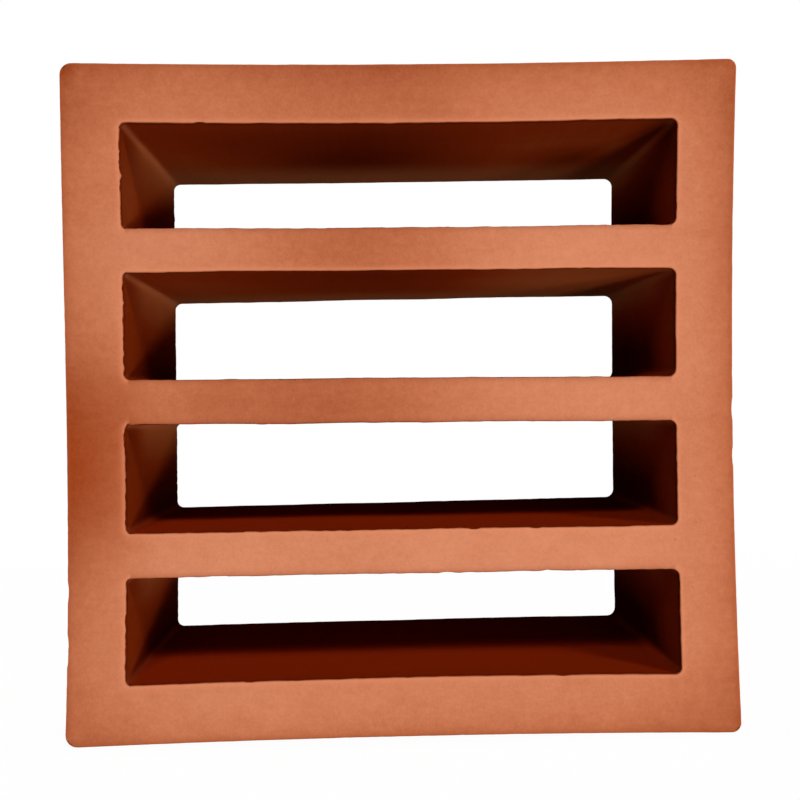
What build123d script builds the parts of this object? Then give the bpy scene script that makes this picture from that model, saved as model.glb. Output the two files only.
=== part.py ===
from build123d import *
import os

# Ventilation block of fired clay, pierced by four long slots.
# It is one extruded body: the clay is pushed through a die that leaves the slots,
# and wires cut the column to the block's depth, so the front and back are cut faces.
# Millimetres, Z up. The origin is the middle of the bed the block stands on,
# and the slots run from the front face at -Y to the back face at +Y.

# Overall size of the fired block
block_width = 190.0
block_height = 190.0
block_depth = 90.0

# Die openings
slot_count = 4
side_wall = 16.5
bed_wall = 16.5
rib_thickness = 12.6

# Roundings left by the die
outer_corner_radius = 3.4
slot_corner_radius = 2.5

# Edges left where the wire cuts the two faces, softened by drying and firing
outline_edge_radius = 0.7
mouth_edge_radius = 0.5

# Sizes that follow from the ones above
slot_width = block_width - 2 * side_wall
rib_count = slot_count - 1
slot_height = (block_height - 2 * bed_wall - rib_count * rib_thickness) / slot_count
slot_pitch = slot_height + rib_thickness
middle_height = block_height / 2
front_face_y = -block_depth / 2

# The sketch plane is the front face. Its own Y is the block's height.
front_plane = Plane(
    origin=(0, front_face_y, middle_height),
    x_dir=(1, 0, 0),
    z_dir=(0, -1, 0),
)

with BuildPart() as block:
    # The column of clay, cut to the block's depth
    with BuildSketch(front_plane) as outline:
        RectangleRounded(block_width, block_height, outer_corner_radius)
    extrude(amount=-block_depth)

    # The slots pass straight through, with no taper
    with BuildSketch(front_plane) as slots:
        with GridLocations(slot_width, slot_pitch, 1, slot_count):
            RectangleRounded(slot_width, slot_height, slot_corner_radius)
    extrude(amount=-block_depth, mode=Mode.SUBTRACT)

    # The two cut faces carry every edge that the wire left: their outline first
    cut_faces = block.faces().filter_by(Axis.Y)
    outline_edges = [edge for face in cut_faces for edge in face.outer_wire().edges()]
    fillet(outline_edges, radius=outline_edge_radius)

    # Then the mouths of the slots, front and back
    cut_faces = block.faces().filter_by(Axis.Y)
    mouth_wires = [wire for face in cut_faces for wire in face.inner_wires()]
    mouth_edges = [edge for wire in mouth_wires for edge in wire.edges()]
    fillet(mouth_edges, radius=mouth_edge_radius)

block.part.label = "block"

os.makedirs("parts", exist_ok=True)
export_step(block.part, "parts/block.step")
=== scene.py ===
import math
import random

import bmesh
import bpy
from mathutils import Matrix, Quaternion, Vector, noise
from mathutils.kdtree import KDTree


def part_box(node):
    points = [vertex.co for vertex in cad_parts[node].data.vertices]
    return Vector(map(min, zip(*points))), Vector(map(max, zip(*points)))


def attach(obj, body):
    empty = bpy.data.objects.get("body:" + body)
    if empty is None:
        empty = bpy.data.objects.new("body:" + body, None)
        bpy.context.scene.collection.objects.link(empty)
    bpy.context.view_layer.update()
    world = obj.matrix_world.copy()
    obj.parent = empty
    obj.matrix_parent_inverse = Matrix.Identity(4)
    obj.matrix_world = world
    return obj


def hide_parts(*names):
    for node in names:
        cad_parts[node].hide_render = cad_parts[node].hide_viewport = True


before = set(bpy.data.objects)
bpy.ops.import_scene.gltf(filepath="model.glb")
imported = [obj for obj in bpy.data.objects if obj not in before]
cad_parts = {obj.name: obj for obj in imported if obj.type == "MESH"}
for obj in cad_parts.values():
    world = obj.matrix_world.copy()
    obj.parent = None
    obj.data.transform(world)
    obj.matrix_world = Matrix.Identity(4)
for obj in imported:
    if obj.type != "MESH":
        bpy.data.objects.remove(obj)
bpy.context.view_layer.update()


# The block
# One piece of fired clay. The column is pushed through a die that leaves four slots,
# wires cut it to depth, and drying and firing draw its sides in and soften its edges.

low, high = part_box("block")
half_width = high.x
half_depth = high.y
height = high.z
middle = height / 2

# The die: its walls, ribs and slots, and the rounding in their corners.
# The slots' radii are for their left and right corners, at the front and at the back.
rim_wall = 0.0165
rib = 0.0126
slot_count = 4
rib_count = slot_count - 1
slot_height = (height - 2 * rim_wall - rib_count * rib) / slot_count
slot_pitch = slot_height + rib
slot_half_width = half_width - rim_wall
slot_middles = [middle + (n - rib_count / 2) * slot_pitch for n in range(slot_count)]
near_slot_radii = (0.0014, 0.0019)
far_slot_radii = (0.0023, 0.0029)
top_left_radius = 0.0034
top_right_radius = 0.0027
bottom_left_radius = 0.0037
bottom_right_radius = 0.0030
arris_radius = 0.00050

# The mesh is close along every edge of the clay and even between them.
# Points less than a hair apart are at the same place.
step_across = 0.00125
step_up = 0.00078
edge_steps = (0.0007, 0.0012, 0.0018, 0.0026)
depth_steps = (0.0012, 0.0024, 0.0042, 0.007, 0.012, 0.020, 0.031)
hair = 1e-6


def lines_between(stops, clay_step):
    """Positions of the mesh lines from the first stop to the last, close to every stop."""
    lines = [stops[0]]
    for start, end in zip(stops, stops[1:]):
        first, last = start + edge_steps[-1], end - edge_steps[-1]
        count = max(1, round((last - first) / clay_step))
        lines += [start + step for step in edge_steps[:-1]]
        lines += [first + (last - first) * n / count for n in range(count + 1)]
        lines += [end - step for step in reversed(edge_steps[:-1])]
        lines.append(end)
    return lines


def in_a_slot(x, z):
    """True for a point of the section that the die leaves open."""
    return abs(x) < slot_half_width and any(abs(z - m) < slot_height / 2 for m in slot_middles)


def round_corner(edge_verts, corner_x, corner_z, side_x, side_z, radius):
    """Slides the edge round one corner onto its arc. The arc's centre lies on the given sides."""
    centre_x, centre_z = corner_x + side_x * radius, corner_z + side_z * radius
    for vert in edge_verts:
        along_x, along_z = (vert.co.x - corner_x) * side_x, (vert.co.z - corner_z) * side_z
        if abs(along_z) < hair and -hair < along_x < radius:
            turn = math.radians(45) * (1 - along_x / radius)
            vert.co.x = centre_x - side_x * radius * math.sin(turn)
            vert.co.z = centre_z - side_z * radius * math.cos(turn)
        elif abs(along_x) < hair and 0 < along_z < radius:
            turn = math.radians(45) * (1 - along_z / radius)
            vert.co.x = centre_x - side_x * radius * math.cos(turn)
            vert.co.z = centre_z - side_z * radius * math.sin(turn)


# The section, as a sheet at the front face with its slots cut out
x_lines = lines_between([-half_width, -slot_half_width, slot_half_width, half_width], step_across)
slot_edges = [m + side * slot_height / 2 for m in slot_middles for side in (-1, 1)]
z_lines = lines_between([0.0, *slot_edges, height], step_up)
section = bmesh.new()
bmesh.ops.create_grid(section, x_segments=len(x_lines) - 1, y_segments=len(z_lines) - 1, size=0.5)
for vert in section.verts:
    column = round((vert.co.x + 0.5) * (len(x_lines) - 1))
    row = round((vert.co.y + 0.5) * (len(z_lines) - 1))
    vert.co = (x_lines[column], -half_depth, z_lines[row])
slot_faces = []
for face in section.faces:
    centre = face.calc_center_median()
    if in_a_slot(centre.x, centre.z):
        slot_faces.append(face)
bmesh.ops.delete(section, geom=slot_faces, context="FACES")

# The column, cut to depth
near_verts = section.verts[:]
cut_off = bmesh.ops.extrude_face_region(section, geom=section.faces[:])
far_verts = [item for item in cut_off["geom"] if isinstance(item, bmesh.types.BMVert)]
bmesh.ops.translate(section, verts=far_verts, vec=(0, 2 * half_depth, 0))
bmesh.ops.recalc_face_normals(section, faces=section.faces[:])

# Every corner onto its arc, wider at the far end of a slot
corners = [(side * half_width, z) for side in (-1, 1) for z in (0.0, height)]
corners += [(side * slot_half_width, z) for side in (-1, 1) for z in slot_edges]
walls = {vert for edge in section.edges if edge.calc_length() > half_depth for vert in edge.verts}
for cut_verts, slot_radii in ((near_verts, near_slot_radii), (far_verts, far_slot_radii)):
    edge_verts = [vert for vert in cut_verts if vert in walls]
    round_corner(edge_verts, -half_width, height, 1, -1, top_left_radius)
    round_corner(edge_verts, half_width, height, -1, -1, top_right_radius)
    round_corner(edge_verts, -half_width, 0.0, 1, 1, bottom_left_radius)
    round_corner(edge_verts, half_width, 0.0, -1, 1, bottom_right_radius)
    for slot_middle in slot_middles:
        for side_z in (-1, 1):
            slot_edge = slot_middle + side_z * slot_height / 2
            round_corner(edge_verts, -slot_half_width, slot_edge, 1, -side_z, slot_radii[0])
            round_corner(edge_verts, slot_half_width, slot_edge, -1, -side_z, slot_radii[1])

# The cut faces, relaxed round the corners
relax_reach = 2 * bottom_left_radius
relax_rounds = 20
relaxed = []
for vert in section.verts:
    reach = min(math.hypot(vert.co.x - x, vert.co.z - z) for x, z in corners)
    if reach < relax_reach and vert not in walls:
        relaxed.append(vert)
for _ in range(relax_rounds):
    bmesh.ops.smooth_vert(
        section, verts=relaxed, factor=0.5,
        use_axis_x=True, use_axis_y=True, use_axis_z=True,
    )

# The edge of the section, to measure from: the outline apart from the slots' mouths
outline_points = KDTree(len(near_verts))
mouth_points = KDTree(len(near_verts))
for index, vert in enumerate(near_verts):
    if vert in walls:
        past_slot_x = abs(vert.co.x) - slot_half_width
        past_slot_z = abs(vert.co.z - middle) - middle + rim_wall
        outer = max(past_slot_x, past_slot_z) > rim_wall / 2
        points = outline_points if outer else mouth_points
        points.insert((vert.co.x, 0, vert.co.z), index)
outline_points.balance()
mouth_points.balance()

# The arrises, rounded all along both cut faces
sharp = math.radians(60)
arrises = [edge for edge in section.edges if edge.calc_face_angle(0) > sharp]
arrises = [edge for edge in arrises if abs(edge.verts[0].co.y - edge.verts[1].co.y) < hair]
bmesh.ops.bevel(
    section, geom=arrises, offset=arris_radius, offset_type="OFFSET", affect="EDGES",
    segments=3, profile=0.5, clamp_overlap=False, material=-1,
)

# The walls, divided from front to back, closer near the cuts
wall_edges = [edge for edge in section.edges if abs(edge.verts[0].co.y - edge.verts[1].co.y) > half_depth]
near_cut = half_depth - arris_radius
depth_lines = [-near_cut] + [-half_depth + step for step in depth_steps] + [0.0]
depth_lines += [-y for y in reversed(depth_lines[:-1])]
bmesh.ops.subdivide_edges(section, edges=wall_edges, cuts=len(depth_lines) - 2, use_grid_fill=True)
for vert in section.verts:
    if abs(vert.co.y) < near_cut - hair:
        ring = round((vert.co.y / near_cut + 1) / 2 * (len(depth_lines) - 1))
        vert.co.y = depth_lines[ring]

# Where each point lies on the block, kept on the mesh for the clay's colours and its painted light and
# shade:
# the outline's edge and border, the mouths' lips with their wear, painted highlight and painted shade,
# the outer skin, and the slots' walls, with their beds, ceilings, corner ridges with their painted
# highlight, and the painted light and shade on their sides.
layer_names = (
    "outer_line", "worn_lip_and_highlight", "lip_painted_shade", "border", "inside",
    "skin", "bed", "ceiling", "painted_shading", "painted_ridge_highlight",
)
layers = {}
for name in layer_names:
    layers[name] = section.verts.layers.float.new(name)
line_reach = 0.0011
border_reach = 0.0055
ridge_highlight_reach = 0.0011
mouth_side = slot_half_width - 0.001

# The painted shade and light on the slots' side walls deep in: the tone at the foot and at the top, and
# how the rise between them bends, and the painted light on their ceilings
left_painted_shading = (-0.75, 0.92, 1.4)
right_painted_shading = (-1.00, 1.02, 2.0)
ceiling_painted_light = 0.16
section.normal_update()
edge_gaps = []
for vert in section.verts:
    spot = (vert.co.x, 0, vert.co.z)
    outline_gap = outline_points.find(spot)[2]
    mouth_gap = mouth_points.find(spot)[2]
    cut_gap = half_depth - abs(vert.co.y)
    edge_gap = math.hypot(min(outline_gap, mouth_gap), cut_gap)
    edge_gaps.append(edge_gap)
    line = math.exp(-(edge_gap / line_reach) ** 2)
    wall = 1 - abs(vert.normal.y)
    up_facing = max(0.0, vert.normal.z)
    down_facing = max(0.0, -vert.normal.z)
    vert[layers["border"]] = math.exp(-outline_gap / border_reach)
    if outline_gap < mouth_gap:
        vert[layers["outer_line"]] = line
        vert[layers["skin"]] = wall
        continue
    vert[layers["inside"]] = wall
    vert[layers["bed"]] = wall * up_facing
    vert[layers["ceiling"]] = wall * down_facing

    # A lip shows wear and a painted highlight at the slot's sides and on its edge away from the block's
    # middle, and painted shade elsewhere unless it faces up
    slot_middle = min(slot_middles, key=lambda m: abs(vert.co.z - m))
    away = (vert.co.z - slot_middle) * (slot_middle - middle) > 0
    wear_and_highlight = 1 - wall if away or abs(vert.co.x) > mouth_side else 0.0
    vert[layers["worn_lip_and_highlight"]] = line * wear_and_highlight
    vert[layers["lip_painted_shade"]] = line * (1 - wear_and_highlight) * (1 - up_facing)

    # Deep in, painted shade low on the side walls and painted light high on them and on the ceilings
    rise = min(1.0, max(0.0, (vert.co.z - slot_middle) / slot_height + 0.5))
    foot_painted_shade, top_painted_light, bend = left_painted_shading if vert.co.x < 0 else right_painted_shading
    painted_shading = abs(vert.normal.x) * (foot_painted_shade + (top_painted_light - foot_painted_shade) * rise ** bend)
    vert[layers["painted_shading"]] = painted_shading + down_facing * ceiling_painted_light
    # A painted highlight along each corner of a slot
    corner_gap_x = abs(vert.co.x) - slot_half_width
    corner_gap_z = abs(vert.co.z - slot_middle) - slot_height / 2
    corner_gap = math.hypot(corner_gap_x, corner_gap_z)
    vert[layers["painted_ridge_highlight"]] = wall * math.exp(-(corner_gap / ridge_highlight_reach) ** 2)

# Handling and the drag of the wire crumble the arrises, more so along some stretches
# and most of all on the left of each mouth
crumble_reach = 0.0017
crumble_depth = 0.00026
crumble_size = 0.0042
left_crumble_size = 0.0020
fine_ratio = 0.45
even_dent = 0.4
coarse_dent = 1.2
fine_dent = 0.8
rough_size = 0.022
rough_least = 0.45
rough_more = 1.1
outline_calm = 0.25
left_rough = 2.4
far_calm = 0.35
border_at_arris = math.exp(-2 * crumble_reach / border_reach)
crumbled = []
for vert, edge_gap in zip(section.verts, edge_gaps):
    nearness = math.exp(-(edge_gap / crumble_reach) ** 2)
    if nearness < 0.01:
        continue
    rough = rough_least + rough_more * max(0.0, noise.noise(vert.co / rough_size))
    if vert[layers["border"]] > border_at_arris:
        rough *= outline_calm
    elif vert.co.x < -mouth_side:
        rough *= left_rough
    if vert.co.y > 0:
        rough *= far_calm
    size = left_crumble_size if vert.co.x < -mouth_side else crumble_size
    coarse = noise.noise(vert.co / size)
    fine = noise.noise(vert.co / (fine_ratio * size))
    unevenness = even_dent + coarse_dent * coarse + fine_dent * fine
    crumbled.append((vert, -vert.normal * nearness * rough * crumble_depth * unevenness))
for vert, dent in crumbled:
    vert.co += dent

# Chips knocked out of the arrises. Each has a place, a radius and a depth.
# The largest are where the photograph shows them.
front = -half_depth
left, right = -half_width, half_width
slot_left = -slot_half_width
slot_low = slot_middles[1] - slot_height / 2
top_edge = height - rim_wall
chips = [
    (left, front, 0.0430, 0.0030, 0.00028),
    (left, front, 0.0285, 0.0030, 0.00032),
    (left, front, 0.0245, 0.0024, 0.00028),
    (right, front, 0.0920, 0.0034, 0.00028),
    (right, front, 0.0780, 0.0030, 0.00024),
    (slot_left, front, 0.1680, 0.0013, 0.00035),
    (slot_left, front, 0.1645, 0.0011, 0.00030),
    (slot_left, front, 0.1070, 0.0018, 0.00055),
    (slot_left, front, 0.1035, 0.0012, 0.00035),
    (slot_left, front, 0.1180, 0.0014, 0.00040),
    (slot_left, front, 0.0350, 0.0016, 0.00045),
    (slot_left, front, 0.0305, 0.0012, 0.00045),
    (slot_left, front, 0.0265, 0.0011, 0.00030),
    (slot_left, front, 0.0220, 0.0015, 0.00040),
    (0.0198, front, slot_low, 0.0018, 0.00055),
    (0.0378, front, slot_low, 0.0016, 0.00045),
    (-0.0200, front, slot_low, 0.0016, 0.00035),
    (0.0445, front, rim_wall, 0.0018, 0.00055),
    (-0.0437, front, rim_wall, 0.0020, 0.00045),
    (-0.0566, front, top_edge, 0.0018, 0.00050),
]
random.seed(11)
small_chip_count = 26
small_chip_radii = (0.0009, 0.0019)
small_chip_shares = (0.10, 0.22)
all_edge_verts = [vert for vert, edge_gap in zip(section.verts, edge_gaps) if edge_gap < arris_radius]
for vert in random.sample(all_edge_verts, small_chip_count):
    radius = random.uniform(*small_chip_radii)
    share = random.uniform(*small_chip_shares)
    if vert.co.y > 0 or vert[layers["border"]] > border_at_arris:
        share *= outline_calm
    chips.append((*vert.co, radius, radius * share))
for x, y, z, radius, depth in chips:
    centre = Vector((x, y, z))
    for vert in section.verts:
        gap = (vert.co - centre).length
        if gap < radius:
            vert.co -= vert.normal * depth * (1 - (gap / radius) ** 2)

# Drying and firing draw the sides in, most at their middles, and tip or thin the ribs a little.
# Each sag has a height, a reach, how far the middle rises, and how far the right end does
# while the left end sinks as much.
left_draw = 0.00113
left_draw_low = 0.78
right_draw = 0.00196
top_draw = 0.00101
bottom_draw = 0.00112
back_share = 0.3
top_left_lean = 0.0007
bottom_right_lean = 0.0012
lean_ratio = 3
rib_middles = [m + slot_pitch / 2 for m in slot_middles[:-1]]
rib_twist = 0.0075
wave_size = 0.03
wave_stretch = 3
wave_depth = 0.0003
wave_seed = 64
sags = [
    (height - rim_wall, 0.0050, -0.00040, 0.0),
    (rib_middles[2], 0.0120, 0.0, -0.00032),
    (rib_middles[2] - rib / 2, 0.0040, 0.00039, 0.0),
    (rib_middles[1], 0.0120, 0.0, -0.00089),
    (rib_middles[0], 0.0120, 0.0, -0.00024),
    (rim_wall, 0.0050, 0.00050, 0.0),
]
noise.seed_set(wave_seed)
for vert in section.verts:
    across = vert.co.x / half_width
    up = (vert.co.z - middle) / middle
    back = (vert.co.y + half_depth) / (2 * half_depth)
    share = 1 - (1 - back_share) * back
    side_draw = left_draw * (1 - left_draw_low * up) if across < 0 else right_draw
    end_draw = -top_draw if up > 0 else bottom_draw
    top_left = (1 - across) * (1 + up) / 4
    bottom_right = (1 + across) * (1 - up) / 4
    move_x = -across * side_draw * (1 - up ** 2) * share
    move_x += top_left_lean * top_left - bottom_right_lean * bottom_right
    move_z = end_draw * up ** 2 * (1 - across ** 2) * share
    move_z += (bottom_right_lean * bottom_right - top_left_lean * top_left) / lean_ratio
    move_z += rib_twist * vert.co.x * back * (1 - up ** 4)
    for sag_height, sag_reach, middle_rise, end_rise in sags:
        near = math.exp(-((vert.co.z - sag_height) / sag_reach) ** 2)
        move_z += near * share * (middle_rise * (1 - across ** 2) + end_rise * across)
    wave_place = Vector((vert.co.x, vert.co.y / wave_stretch, vert.co.z)) / wave_size
    wave = noise.noise_vector(wave_place)
    inner = (1 - across ** 4) * (1 - up ** 4)
    vert.co.x += move_x + wave.x * wave_depth * inner
    vert.co.z += move_z + wave.z * wave_depth * inner

# The finished clay stays within the die's size
for vert in section.verts:
    vert.co.x = min(max(vert.co.x, low.x), high.x)
    vert.co.y = min(max(vert.co.y, low.y), high.y)
    vert.co.z = min(max(vert.co.z, low.z), high.z)
for face in section.faces:
    face.smooth = True
body_mesh = bpy.data.meshes.new("breeze_block")
section.to_mesh(body_mesh)
section.free()
breeze_block = bpy.data.objects.new("breeze_block", body_mesh)
bpy.context.scene.collection.objects.link(breeze_block)


def add_node(tree, kind, inputs, **settings):
    """One node of a material. An input is a plain value, or the socket that feeds it."""
    node = tree.nodes.new(kind)
    for name, value in settings.items():
        setattr(node, name, value)
    for name, value in inputs.items():
        if isinstance(value, bpy.types.NodeSocket):
            tree.links.new(value, node.inputs[name])
        else:
            node.inputs[name].default_value = value
    return node


def worked(tree, operation, first, second=0.0, third=0.0):
    """A value worked out from others."""
    inputs = {0: first, 1: second, 2: third}
    return add_node(tree, "ShaderNodeMath", inputs, operation=operation).outputs["Value"]


def raised(tree, value, mask, strength):
    """The value, raised by the strength where the mask is 1."""
    return worked(tree, "MULTIPLY_ADD", mask, strength, value)


def blended(tree, share, first, second):
    """A colour that goes from the first to the second as the share goes from 0 to 1."""
    inputs = {"Factor": share, 6: first, 7: second}
    return add_node(tree, "ShaderNodeMix", inputs, data_type="RGBA").outputs[2]


def tinted(tree, colour, tint, mask, share):
    """The colour, gone so large a share of the way to the tint where the mask is 1."""
    return blended(tree, worked(tree, "MULTIPLY", mask, share), colour, tint)


def stretched(tree, place, along_x, along_y, along_z):
    """The place, drawn out so that what is laid on it gets longer that many times."""
    inputs = {0: place, 1: (1 / along_x, 1 / along_y, 1 / along_z)}
    return add_node(tree, "ShaderNodeVectorMath", inputs, operation="MULTIPLY").outputs[0]


def cloud(tree, place, size, detail=2.0, roughness=0.5):
    """Soft random value round 0.5, with blotches of the given size in metres."""
    inputs = {"Vector": place, "Scale": 1 / size, "Detail": detail, "Roughness": roughness}
    return add_node(tree, "ShaderNodeTexNoise", inputs).outputs["Fac"]


def faded(tree, value, start, end):
    """1 up to the start, fading to 0 at the end."""
    inputs = {"Value": value, "From Min": start, "From Max": end, "To Min": 1.0, "To Max": 0.0}
    return add_node(tree, "ShaderNodeMapRange", inputs, interpolation_type="SMOOTHSTEP").outputs["Result"]


def near_spot(tree, place, spot, reach):
    """1 at a spot, fading to 0 at 1.6 times the reach that it has along each axis."""
    inputs = {0: place, 1: spot}
    gap = add_node(tree, "ShaderNodeVectorMath", inputs, operation="SUBTRACT").outputs[0]
    gap = stretched(tree, gap, *reach)
    gap = add_node(tree, "ShaderNodeVectorMath", {0: gap}, operation="LENGTH").outputs["Value"]
    return faded(tree, gap, 0.0, 1.6)


def stored(tree, name):
    """A value kept on the piece's own mesh."""
    return add_node(tree, "ShaderNodeAttribute", {}, attribute_name=name).outputs["Fac"]


clay = bpy.data.materials.new("fired_clay")
clay.use_nodes = True
tree = clay.node_tree
shader = tree.nodes["Principled BSDF"]
place = add_node(tree, "ShaderNodeTexCoord", {}).outputs["Object"]

# Tone of the clay, from 0, dark and red, to 1, light and dusty.
# Each layer of blotches has a size, a detail and a strength, and the last follows the wire's drag.
dragged = stretched(tree, place, 6, 1, 1)
blotches = [
    (place, 0.055, 2.0, 0.25),
    (place, 0.016, 3.0, 0.20),
    (place, 0.0045, 3.0, 0.22),
    (place, 0.0017, 2.0, 0.23),
    (place, 0.0008, 2.0, 0.28),
    (dragged, 0.0013, 2.0, 0.12),
]
tone = 0.68
for where, size, detail, strength in blotches:
    tone = raised(tree, tone, cloud(tree, where, size, detail), strength)
    tone = worked(tree, "SUBTRACT", tone, strength / 2)

# Darker and lighter patches on the front: where they are on the face,
# how far they reach across and up, and how much they lighten
face_patches = [
    (-0.092, 0.079, 0.018, 0.031, -0.66),
    (-0.030, 0.094, 0.042, 0.014, -0.47),
    (-0.013, 0.139, 0.029, 0.014, -0.34),
    (-0.006, 0.183, 0.034, 0.019, -0.25),
    (-0.093, 0.184, 0.016, 0.018, -0.27),
    (-0.095, 0.190, 0.005, 0.005, -0.45),
    (0.093, 0.184, 0.014, 0.020, -0.22),
    (0.091, 0.006, 0.022, 0.016, -0.30),
    (0.095, 0.120, 0.010, 0.055, -0.21),
    (0.000, 0.190, 0.120, 0.020, -0.12),
    (-0.062, 0.137, 0.024, 0.014, 0.16),
    (0.056, 0.120, 0.042, 0.048, 0.24),
    (0.015, 0.054, 0.085, 0.016, 0.26),
    (-0.060, 0.048, 0.026, 0.014, 0.10),
    (-0.060, 0.010, 0.024, 0.014, 0.14),
    (-0.010, 0.012, 0.045, 0.016, 0.14),
    (0.092, 0.051, 0.014, 0.016, -0.14),
    (-0.089, 0.004, 0.012, 0.010, -0.16),
    (-0.074, 0.181, 0.012, 0.012, -0.07),
    (-0.088, 0.157, 0.014, 0.022, -0.07),
    (0.007, 0.008, 0.014, 0.012, -0.12),
]
for x, z, reach_x, reach_z, strength in face_patches:
    near = near_spot(tree, place, (x, -half_depth, z), (reach_x, 0.05, reach_z))
    tone = raised(tree, tone, near, strength)
tone = raised(tree, tone, stored(tree, "border"), -0.34)

# Sparse pits, dark at the bottom. Their widths are shares of the gap between them.
pit_gap = 0.0085
pit_bottom = 0.02
pit_top = 0.06
missing_pits = 0.55
pits = add_node(tree, "ShaderNodeTexVoronoi", {"Vector": place, "Scale": 1 / pit_gap})
pit_kind = add_node(tree, "ShaderNodeSeparateColor", {"Color": pits.outputs["Color"]}).outputs["Red"]
in_a_pit = faded(tree, pits.outputs["Distance"], pit_bottom, pit_top)
in_a_pit = worked(tree, "MULTIPLY", in_a_pit, worked(tree, "GREATER_THAN", pit_kind, missing_pits))
tone = raised(tree, tone, in_a_pit, -0.30)

# The cut faces: pale orange clay, darker and redder where the tone is low
face_tone = worked(tree, "MULTIPLY_ADD", tone, 0.8, 0.2)
ramp = add_node(tree, "ShaderNodeValToRGB", {"Fac": face_tone})
ramp.color_ramp.elements[0].color = (0.290, 0.045, 0.0080, 1)
ramp.color_ramp.elements[1].color = (0.715, 0.262, 0.135, 1)
mid_tone = ramp.color_ramp.elements.new(0.6)
mid_tone.color = (0.558, 0.167, 0.0735, 1)
colour = ramp.outputs["Color"]

# One patch at the left redder, the outer edges darker, and the lips lighter with wear and a painted
# highlight, and darker with painted shade
red_patch = near_spot(tree, place, (-0.088, -half_depth, 0.079), (0.018, 0.05, 0.026))
colour = tinted(tree, colour, (0.400, 0.066, 0.014, 1), red_patch, 0.48)
colour = tinted(tree, colour, (0.400, 0.085, 0.025, 1), stored(tree, "outer_line"), 0.52)
colour = tinted(tree, colour, (0.800, 0.275, 0.135, 1), stored(tree, "worn_lip_and_highlight"), 0.62)
colour = tinted(tree, colour, (0.300, 0.045, 0.010, 1), stored(tree, "lip_painted_shade"), 0.35)

# The skin that slid along the die is darker, with the die's streaks along it
slid = stretched(tree, place, 1, 40, 1)
streaks = cloud(tree, slid, 0.0016, 2.0)
skin_tone = worked(tree, "MULTIPLY_ADD", tone, 0.7, 0.09)
skin_tone = raised(tree, skin_tone, streaks, 0.22)
skin_ramp = add_node(tree, "ShaderNodeValToRGB", {"Fac": skin_tone})
skin_ramp.color_ramp.elements[0].color = (0.300, 0.062, 0.020, 1)
skin_ramp.color_ramp.elements[1].color = (0.520, 0.150, 0.062, 1)
colour = blended(tree, stored(tree, "skin"), colour, skin_ramp.outputs["Color"])

# The walls of the slots, darker and redder than the outer skin, partly in painted shade: dark red near
# the mouths, and deeper in black-red below in painted shade and brown above in painted light.
# Most of their marks are painted light and shade. Each has a place, a reach along each axis, and how much
# it lightens.
slot_shading_marks = [
    ((-0.013, 0.004, 0.1735), (0.037, 0.045, 0.006), -0.50),
    ((-0.055, -0.018, 0.1735), (0.020, 0.020, 0.006), -0.14),
    ((0.058, 0.008, 0.1735), (0.018, 0.018, 0.006), -0.26),
    ((0.074, 0.022, 0.1735), (0.012, 0.036, 0.006), 0.24),
    ((0.072, 0.034, 0.1311), (0.020, 0.024, 0.006), 0.10),
    ((-0.008, -0.012, 0.1311), (0.040, 0.046, 0.006), -0.20),
    ((0.050, -0.015, 0.1311), (0.030, 0.050, 0.006), 0.27),
    ((0.0785, -0.024, 0.1760), (0.008, 0.040, 0.016), -0.42),
    ((-0.0785, -0.018, 0.1530), (0.008, 0.034, 0.012), 0.20),
]
depth = add_node(tree, "ShaderNodeSeparateXYZ", {"Vector": place}).outputs["Y"]
near_mouth = faded(tree, depth, -half_depth + 0.007, -half_depth + 0.038)
deep = worked(tree, "SUBTRACT", 1.0, near_mouth)
# Deeper in, the painted shade darkens the walls' feet and the painted light brightens their tops and the
# ceilings
deep_painted_shading = worked(tree, "MULTIPLY", deep, stored(tree, "painted_shading"))
wall_tone = worked(tree, "MULTIPLY_ADD", skin_tone, 0.30, 0.30)
wall_tone = raised(tree, wall_tone, deep_painted_shading, 0.62)
# The painted highlight along the corners
wall_tone = raised(tree, wall_tone, stored(tree, "painted_ridge_highlight"), 0.36)
for spot, reach, strength in slot_shading_marks:
    wall_tone = raised(tree, wall_tone, near_spot(tree, place, spot, reach), strength)
wall_ramp = add_node(tree, "ShaderNodeValToRGB", {"Fac": wall_tone})
wall_ramp.color_ramp.elements[0].color = (0.080, 0.0060, 0.0004, 1)
wall_ramp.color_ramp.elements[1].color = (0.500, 0.125, 0.0340, 1)
mid_wall = wall_ramp.color_ramp.elements.new(0.5)
mid_wall.color = (0.300, 0.036, 0.0040, 1)
wall_colour = wall_ramp.outputs["Color"]

# Their beds are painted lit and redder at the front, and in painted shadow past the middle
painted_lit_bed_front = faded(tree, depth, -half_depth + 0.034, -half_depth + 0.054)
bed_colour = blended(tree, painted_lit_bed_front, (0.140, 0.011, 0.0006, 1), (0.430, 0.037, 0.0024, 1))
wall_colour = blended(tree, stored(tree, "bed"), wall_colour, bed_colour)

# Painted light makes their ceilings browner at the far end, and a painted highlight runs along their
# corners
near_end = faded(tree, depth, half_depth - 0.038, half_depth - 0.006)
far_ceiling_painted_light = worked(tree, "MULTIPLY", worked(tree, "SUBTRACT", 1.0, near_end), stored(tree, "ceiling"))
wall_colour = tinted(tree, wall_colour, (0.315, 0.090, 0.0320, 1), far_ceiling_painted_light, 0.85)
# The corners' painted highlight, stronger on the ceilings
ridge_highlight_share = worked(tree, "MULTIPLY_ADD", stored(tree, "ceiling"), 0.32, 0.10)
wall_colour = tinted(tree, wall_colour, (0.560, 0.200, 0.0900, 1), stored(tree, "painted_ridge_highlight"), ridge_highlight_share)

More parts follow.
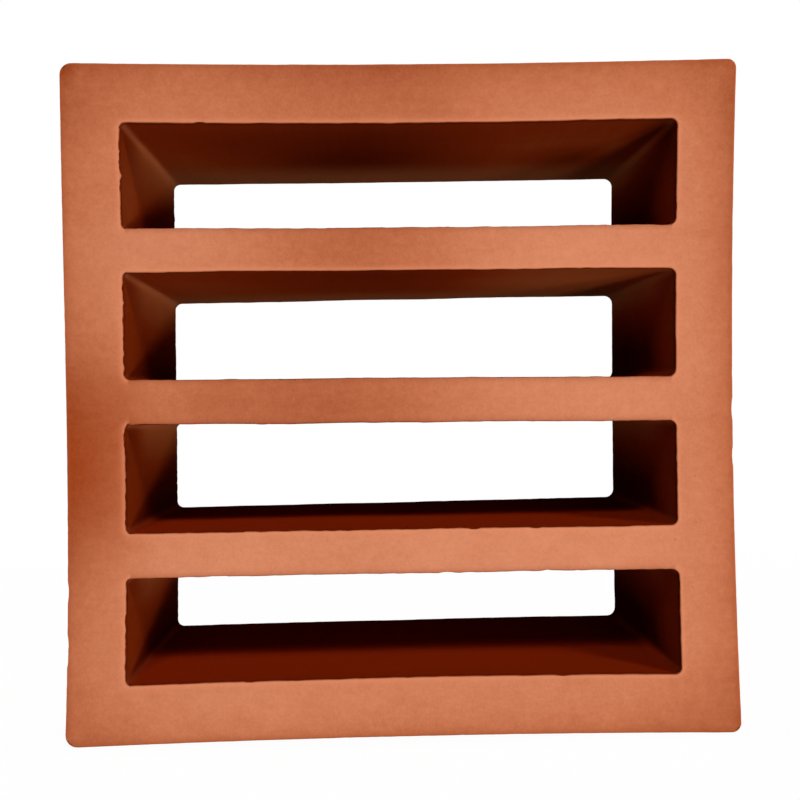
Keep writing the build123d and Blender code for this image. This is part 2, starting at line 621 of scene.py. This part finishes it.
# Painted shade: the first millimetres behind a mouth are nearly black, less so on the bed
painted_shade_behind_lip = faded(tree, depth, -half_depth + 0.0010, -half_depth + 0.0030)
lip_shade_share = worked(tree, "MULTIPLY_ADD", stored(tree, "bed"), -0.40, 0.65)
wall_colour = tinted(tree, wall_colour, (0.110, 0.0060, 0.0005, 1), painted_shade_behind_lip, lip_shade_share)
colour = blended(tree, stored(tree, "inside"), colour, wall_colour)
tree.links.new(colour, shader.inputs["Base Color"])

# Fine grain, and the drag of the die along the walls
grain = cloud(tree, place, 0.0007, 3.0, 0.6)
walls_share = worked(tree, "ADD", stored(tree, "skin"), stored(tree, "inside"))
relief = raised(tree, grain, worked(tree, "MULTIPLY", streaks, walls_share), 0.9)
relief = raised(tree, relief, in_a_pit, -0.8)
grain_bump = add_node(tree, "ShaderNodeBump", {"Height": relief, "Distance": 0.00012, "Strength": 0.6})
tree.links.new(grain_bump.outputs["Normal"], shader.inputs["Normal"])
shader.inputs["Roughness"].default_value = 0.92
shader.inputs["Specular IOR Level"].default_value = 0.0
body_mesh.materials.append(clay)

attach(breeze_block, "root")
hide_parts("block")


# The table
# A pale translucent sheet, as in a light tent: lamps shine up through it,
# and it keeps a faint shadow of the block.
table_half = 4.0
table_drop = 0.00005
shadow_inner = 0.16
shadow_outer = 0.6
near_glow = 0.975
thin_grey = 0.025
paper_grey = 0.12
table_sheet = bmesh.new()
bmesh.ops.create_grid(table_sheet, x_segments=1, y_segments=1, size=table_half)
bmesh.ops.translate(table_sheet, verts=table_sheet.verts[:], vec=(0, 0, -table_drop))
table_mesh = bpy.data.meshes.new("table")
table_sheet.to_mesh(table_mesh)
table_sheet.free()
table = bpy.data.objects.new("table", table_mesh)
bpy.context.scene.collection.objects.link(table)
table.visible_shadow = False

table_white = bpy.data.materials.new("table_white")
table_white.use_nodes = True
tree = table_white.node_tree
tree.nodes.remove(tree.nodes["Principled BSDF"])
rays = add_node(tree, "ShaderNodeLightPath", {})
seen = worked(tree, "MAXIMUM", rays.outputs["Is Camera Ray"], rays.outputs["Is Glossy Ray"])
seen = worked(tree, "MAXIMUM", seen, rays.outputs["Is Transmission Ray"])
place = add_node(tree, "ShaderNodeTexCoord", {}).outputs["Object"]
far_away = add_node(tree, "ShaderNodeVectorMath", {0: place}, operation="LENGTH").outputs["Value"]
near_share = faded(tree, far_away, shadow_inner, shadow_outer)
glow_white = add_node(tree, "ShaderNodeEmission", {"Color": (1, 1, 1, 1), "Strength": 1.0})
glow_near = add_node(tree, "ShaderNodeEmission", {"Color": (1, 1, 1, 1), "Strength": near_glow})
thin_paper = add_node(tree, "ShaderNodeBsdfDiffuse", {"Color": (thin_grey, thin_grey, thin_grey, 1)})
paper = add_node(tree, "ShaderNodeBsdfDiffuse", {"Color": (paper_grey, paper_grey, paper_grey, 1)})
near_white = add_node(tree, "ShaderNodeAddShader", {0: glow_near.outputs[0], 1: thin_paper.outputs[0]})
inputs = {0: near_share, 1: glow_white.outputs[0], 2: near_white.outputs[0]}
seen_white = add_node(tree, "ShaderNodeMixShader", inputs)
inputs = {0: seen, 1: paper.outputs[0], 2: seen_white.outputs[0]}
surface = add_node(tree, "ShaderNodeMixShader", inputs)
tree.links.new(surface.outputs[0], tree.nodes["Material Output"].inputs["Surface"])
table_mesh.materials.append(table_white)


# The light
# Soft lamps light the face: three low ones, the brightest a little to the right, and two high ones.
# The ends and the top each have a strip straight in front of them, no wider than the block is deep,
# so it doesn't reach into the slots, and the back has a lamp far behind it.
face_middle = Vector((0, -half_depth, middle))
block_middle = Vector((0, 0, middle))


def hang_lamp(name, aim, turn, rise, distance, width, length, strength):
    """A soft lamp, hung so many degrees to the right of straight ahead of its aim, and so many up."""
    turn, rise = math.radians(turn), math.radians(rise)
    towards = Vector((math.sin(turn) * math.cos(rise), -math.cos(turn) * math.cos(rise), math.sin(rise)))
    lamp = bpy.data.lights.new(name, "AREA")
    lamp.shape = "RECTANGLE"
    lamp.size = width
    lamp.size_y = length
    lamp.energy = strength * math.pi ** 2 * distance ** 2
    holder = bpy.data.objects.new(name, lamp)
    bpy.context.scene.collection.objects.link(holder)
    holder.location = aim + towards * distance
    holder.rotation_euler = (math.radians(90) - rise, 0, turn)
    holder.visible_camera = False


hang_lamp("low_lamp", face_middle, 14.0, -14.4, 2.5, 0.30, 0.30, 0.434)
hang_lamp("low_right_lamp", face_middle, 28.0, -14.4, 2.5, 0.30, 0.30, 0.210)
hang_lamp("low_left_lamp", face_middle, -12.0, -14.4, 2.5, 0.30, 0.30, 0.083)
hang_lamp("high_lamp", face_middle, -6.0, 35.2, 2.5, 0.34, 0.34, 0.181)
hang_lamp("high_side_lamp", face_middle, 41.0, 31.0, 2.0, 0.30, 0.30, 0.196)
hang_lamp("right_lamp", block_middle, 90.0, 0.0, 1.8, 0.08, 0.60, 0.55)
hang_lamp("left_lamp", block_middle, -90.0, 0.0, 1.8, 0.08, 0.60, 0.58)
hang_lamp("top_lamp", block_middle, 0.0, 90.0, 1.8, 0.60, 0.08, 0.50)
hang_lamp("back_lamp", block_middle, 180.0, 0.0, 9.0, 0.20, 0.20, 0.80)

# The room is white to look at, and adds very little light
room_light = 0.02
room = bpy.data.worlds.new("room")
bpy.context.scene.world = room
room.use_nodes = True
tree = room.node_tree
rays = add_node(tree, "ShaderNodeLightPath", {})
seen = worked(tree, "MAXIMUM", rays.outputs["Is Camera Ray"], rays.outputs["Is Glossy Ray"])
seen = worked(tree, "MAXIMUM", seen, rays.outputs["Is Transmission Ray"])
strength = worked(tree, "MULTIPLY_ADD", seen, 1 - room_light, room_light)
background = tree.nodes["Background"]
background.inputs["Color"].default_value = (1, 1, 1, 1)
tree.links.new(strength, background.inputs["Strength"])
bpy.context.scene.view_settings.view_transform = "Standard"


# The camera
# It looks straight at the face from a little to the left, level with the block's middle.
# Its focal length and the picture's width are in pixels of the picture.
picture_width = 800
focal_length = 1141.7
eye = Vector((-0.00959, -0.36296, 0.09392))
turn = math.radians(1.534)
rise = math.radians(0.207)
roll = math.radians(0.763)
camera_data = bpy.data.cameras.new("camera")
camera_data.sensor_width = 36
camera_data.lens = camera_data.sensor_width * focal_length / picture_width
camera_data.clip_start = 0.01
camera = bpy.data.objects.new("camera", camera_data)
bpy.context.scene.collection.objects.link(camera)
camera.location = eye
camera.rotation_mode = "QUATERNION"
look = Vector((math.sin(turn) * math.cos(rise), math.cos(turn) * math.cos(rise), math.sin(rise)))
camera.rotation_quaternion = look.to_track_quat("-Z", "Y") @ Quaternion((0, 0, 1), -roll)
bpy.context.scene.camera = camera
